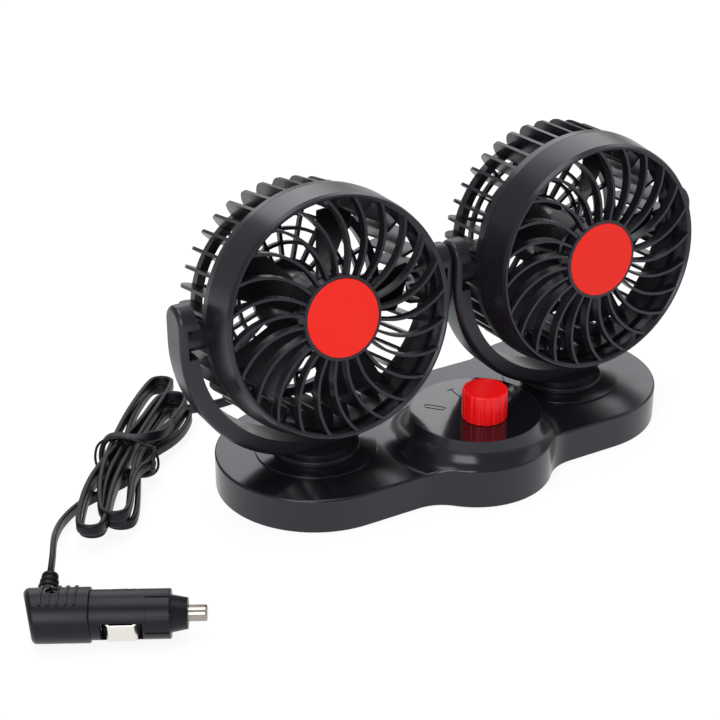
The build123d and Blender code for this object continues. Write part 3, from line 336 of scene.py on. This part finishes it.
def finish(
    name, colour, roughness, metallic=0.0, spread=0.0,
    grain_mm=0.5, bump=0.0, second=None, ior=1.5, coat=0.0,
):
    """A material of one colour, or a cloud of two, with a roughness that wanders by the spread."""
    material = bpy.data.materials.new(name)
    material.use_nodes = True
    tree = material.node_tree
    tree.nodes.clear()
    shader = add_node(
        tree, "ShaderNodeBsdfPrincipled",
        {"Base Color": linear(colour), "Roughness": roughness, "Metallic": metallic},
    )
    if not metallic:
        shader.inputs["IOR"].default_value = ior
        shader.inputs["Specular Tint"].default_value = linear(violet_gloss)
    where = add_node(tree, "ShaderNodeTexCoord").outputs["Object"]
    cloud = add_node(
        tree, "ShaderNodeTexNoise", {"Vector": where, "Scale": 1 / (cloud_mm * MM), "Detail": 2.0},
    ).outputs["Fac"]
    if spread:
        rough = add_node(
            tree, "ShaderNodeMapRange",
            {"Value": cloud, "From Min": cloud_low, "From Max": cloud_high,
             "To Min": roughness - spread, "To Max": roughness + spread},
        )
        tree.links.new(rough.outputs["Result"], shader.inputs["Roughness"])
    if second:
        tint = add_node(
            tree, "ShaderNodeMix",
            {"Factor": cloud, "A": linear(colour), "B": linear(second)}, data_type="RGBA",
        )
        tree.links.new(tint.outputs["Result"], shader.inputs["Base Color"])
    if coat:
        shader.inputs["Coat Weight"].default_value = coat
        shader.inputs["Coat Roughness"].default_value = coat_roughness
    if bump:
        grain = add_node(
            tree, "ShaderNodeTexNoise",
            {"Vector": where, "Scale": 1 / (grain_mm * MM), "Detail": 3.0},
        )
        relief = add_node(
            tree, "ShaderNodeBump",
            {"Height": grain.outputs["Fac"], "Strength": bump, "Distance": grain_depth * MM},
        )
        tree.links.new(relief.outputs["Normal"], shader.inputs["Normal"])
    add_node(tree, "ShaderNodeOutputMaterial", {"Surface": shader.outputs["BSDF"]})
    return material


def dress(names, material):
    """Gives a material to nodes by name, on both sides where there is a left and a right one."""
    for name in names.split():
        for obj in [nodes[n] for n in nodes if n == name or n in ("left_" + name, "right_" + name)]:
            obj.data.materials.clear()
            obj.data.materials.append(material)


# %% [markdown]
# ### Moulded plastics
#
# The base and yokes are injection moulded ABS. The base is the glossiest, so its top mirrors the
# heads softly. The dial plate comes from a polished mould and shows the knob upside down in it. The
# knob is glossy red. The discs in the middle of each head are painted, a softer orange red. The
# cord's PVC and the plug are darker and duller than the body, as they look in the photograph.

# %% Plastics
# Moulded in a smooth mould: soft mirror images on the base's top, dark walls.
base_abs = finish(
    "glossy_base_abs", "17161b", 0.2, spread=0.04, grain_mm=0.35, bump=0.04, second="1c1b20",
)
# A fine etched grain on the yokes spreads each highlight into a wide soft band.
satin_abs = finish(
    "satin_black_abs", "1c1b20", 0.32, spread=0.05, grain_mm=0.35, bump=0.2, second="222126",
)
# The heads' rings and cages are a little smoother, so thin bars still catch a line of light.
cage_abs = finish(
    "cage_black_abs", "19181d", 0.28, spread=0.05, grain_mm=0.35, bump=0.12, second="1f1e23",
)
# Blades are given a darker colour than the bars in front of them: painted shade for the inside of the
# head, which keeps the bars readable.
blade_abs = finish("blade_black_abs", "141416", 0.3, spread=0.04, bump=0.1)
# The dial plate's polished mould gives a nearly clear mirror image of the knob.
polished_abs = finish("polished_black_abs", "131319", 0.13, spread=0.02, coat=0.3)
# Coloured right through and glossy: a strong red with small sharp highlights.
red_knob = finish("red_gloss_abs", "fb161a", 0.24, spread=0.04, bump=0.05, ior=1.4)
# Paint on a flat disc: an even, duller orange red that shows no mirror image.
red_disc = finish(
    "red_painted_disc", "fb281c", 0.45, spread=0.04, bump=0.1, second="fd3022", ior=1.3,
)
# Soft PVC is dull, and its skin is a little uneven from the extruder.
cord_pvc = finish(
    "black_pvc_cord", "100f13", 0.42, spread=0.06, grain_mm=0.6, bump=0.2, ior=1.34,
)
# The plug's hard plastic is the darkest of the body colours, with a broad highlight.
plug_abs = finish(
    "plug_black_abs", "101014", 0.36, spread=0.05, grain_mm=0.35, bump=0.12, ior=1.36,
)
# Foam rubber swallows the light under the base.
pad_foam = finish("black_pad_rubber", "151515", 0.85, bump=0.5)
# Nylon of the washers and the switch: black with a waxy, plain surface.
nylon = finish("black_nylon", "202022", 0.5, bump=0.1)

# %% [markdown]
# ### Metals and small parts
#
# The plug's side contacts are bright nickel, bent from springy strip. Its tip is turned brass with
# nickel on it, a little worn, so it is darker. Screws are zinc plated, and the motor can is drawn
# steel. Most small parts only show through the bars, but each has its own finish all the same.

# %% Metals
# Plated spring strip: the brightest spot on the plug.
nickel = finish(
    "bright_nickel", "e9e6e0", 0.22, metallic=1.0, spread=0.05, grain_mm=0.8, bump=0.05,
)
# The tip rubs in the socket, so it is greyer and its highlight is softer.
worn_nickel = finish(
    "worn_nickel_tip", "a59e97", 0.26, metallic=1.0, spread=0.06, grain_mm=0.8, bump=0.05,
)
# Zinc on steel screws and pins: a bluish grey.
zinc = finish("zinc_plate", "a9aab0", 0.35, metallic=1.0, spread=0.06)
# Deep drawn motor cans and the rotor's sheets: duller and darker than the plating.
drawn_steel = finish("drawn_steel", "8d8e92", 0.4, metallic=1.0, spread=0.05)
# Bushes of pressed bronze powder: brown and dull.
sintered_bronze = finish("sintered_bronze", "9a7a4a", 0.5, metallic=1.0, spread=0.05)
# Ferrite magnets break the light like fine stone.
ferrite = finish("dark_ferrite", "2c2c2e", 0.7, bump=0.3)
# Green resin of the speed board, white ceramic of its resistor, and the fuse's glass.
board_resin = finish("green_board", "1d5a33", 0.35)
ceramic = finish("white_ceramic", "d9d6cc", 0.6, bump=0.2)
fuse_glass = finish("fuse_glass", "cfd6d6", 0.1)
# The plug's screw is blackened, so it shows only by its highlights.
black_steel = finish("blackened_steel", "1a1a1b", 0.35, metallic=1.0, spread=0.05)
print("finishes", len(bpy.data.materials))

# %% [markdown]
# ### Each piece gets its finish
#
# A name without a side dresses the left and the right piece.

# %% Dress the pieces
dress("base_shell base_cover", base_abs)
dress("yoke", satin_abs)
dress("front_grille rear_cage", cage_abs)
dress("impeller", blade_abs)
dress("dial_plate", polished_abs)
dress("speed_knob", red_knob)
dress("badge_disc", red_disc)
dress("cord_gland cord_boot", cord_pvc)
dress("plug_body_top plug_body_bottom plug_collar plug_nose", plug_abs)
dress("base_pad", pad_foam)
dress("tilt_washers switch_shaft speed_switch motor_end_cap", nylon)
dress("front_contact back_contact", nickel)
dress("plug_tip", worn_nickel)
dress("base_screws swivel_screw swivel_washer switch_nut", zinc)
dress("motor_screws pivot_pins motor_shaft tip_spring", zinc)
dress("motor_can rotor", drawn_steel)
dress("motor_bushes", sintered_bronze)
dress("motor_magnets", ferrite)
dress("speed_board", board_resin)
dress("speed_resistor", ceramic)
dress("plug_fuse", fuse_glass)
dress("plug_screw", black_steel)
# The lead and its tie are both black PVC, in slots of their own.
lead.data.materials.append(cord_pvc)
tie.data.materials.append(cord_pvc)

# %% [markdown]
# ## Floor and light
#
# A product photograph has a white sweep and soft light from large panels. The light from behind
# draws the pale tops on the two heads and the base, and the one from the front left lights the
# discs. The background could be cut out afterwards, but then the shadow would be lost. Here the
# floor shows the camera and the reflections plain white, mixed with a little of its real paint, so
# a faint shadow stays.

# %% Floor
floor_size = 8
white = (1, 1, 1, 1)
# Real white paint gives back 82 percent. The glow is a little over white, so that its share of 80
# percent and the lit paint come to plain white together.
floor_grey = (0.82, 0.82, 0.82, 1)
white_share, white_strength = 0.8, 1.1
bpy.ops.object.select_all(action="DESELECT")
bpy.ops.mesh.primitive_plane_add(size=floor_size, location=(0, 0, 0))
floor = bpy.context.object
floor.name = "floor"
floor_paint = bpy.data.materials.new("white_sweep")
floor_paint.use_nodes = True
tree = floor_paint.node_tree
tree.nodes.clear()
paint = add_node(tree, "ShaderNodeBsdfDiffuse", {"Color": floor_grey})
glow = add_node(tree, "ShaderNodeEmission", {"Color": white, "Strength": white_strength})
rays = add_node(tree, "ShaderNodeLightPath").outputs
seen = add_node(
    tree, "ShaderNodeMath", {0: rays["Is Camera Ray"], 1: rays["Is Glossy Ray"]}, operation="MAXIMUM",
)
share = add_node(
    tree, "ShaderNodeMath", {0: seen.outputs["Value"], 1: white_share}, operation="MULTIPLY",
)
blend = add_node(
    tree, "ShaderNodeMixShader",
    {"Fac": share.outputs["Value"], 1: paint.outputs[0], 2: glow.outputs[0]},
)
add_node(tree, "ShaderNodeOutputMaterial", {"Surface": blend.outputs[0]})
floor.data.materials.append(floor_paint)
print("floor", floor_size, "m wide")

# %% Light
# The lamps aim a little left of the dial, at half the heads' height.
aim = Vector((-0.03, 0, 0.05))
room_strength = 0.35


def panel(name, place, size, power):
    """A soft rectangular lamp that faces the middle of the fan, in metres and watts."""
    light = bpy.data.lights.new(name, "AREA")
    light.shape = "RECTANGLE"
    light.size, light.size_y = size
    light.energy = power
    obj = bpy.data.objects.new(name, light)
    scene.collection.objects.link(obj)
    obj.location = place
    obj.rotation_euler = (aim - Vector(place)).to_track_quat("-Z", "Y").to_euler()


panel("back_panel", (0.53, 0.95, 0.85), (1.7, 0.9), 9.5)
panel("overhead_panel", (-0.2, 0.1, 1.4), (1.0, 0.8), 8)
panel("front_left_panel", (-1.1, -1.0, 0.7), (0.9, 0.9), 11)
panel("right_panel", (1.1, -0.5, 0.6), (0.6, 1.0), 1.3)
world = bpy.data.worlds.new("studio")
scene.world = world
world.use_nodes = True
tree = world.node_tree
tree.nodes.clear()
seen = add_node(tree, "ShaderNodeLightPath").outputs["Is Camera Ray"]
room = add_node(tree, "ShaderNodeBackground", {"Color": white, "Strength": room_strength})
sweep = add_node(tree, "ShaderNodeBackground", {"Color": white, "Strength": 1.0})
choose = add_node(
    tree, "ShaderNodeMixShader", {"Fac": seen, 1: room.outputs[0], 2: sweep.outputs[0]},
)
add_node(tree, "ShaderNodeOutputWorld", {"Surface": choose.outputs[0]})
print("lamps", len(bpy.data.lights))

# %% Colour view
scene.view_settings.view_transform = "Standard"
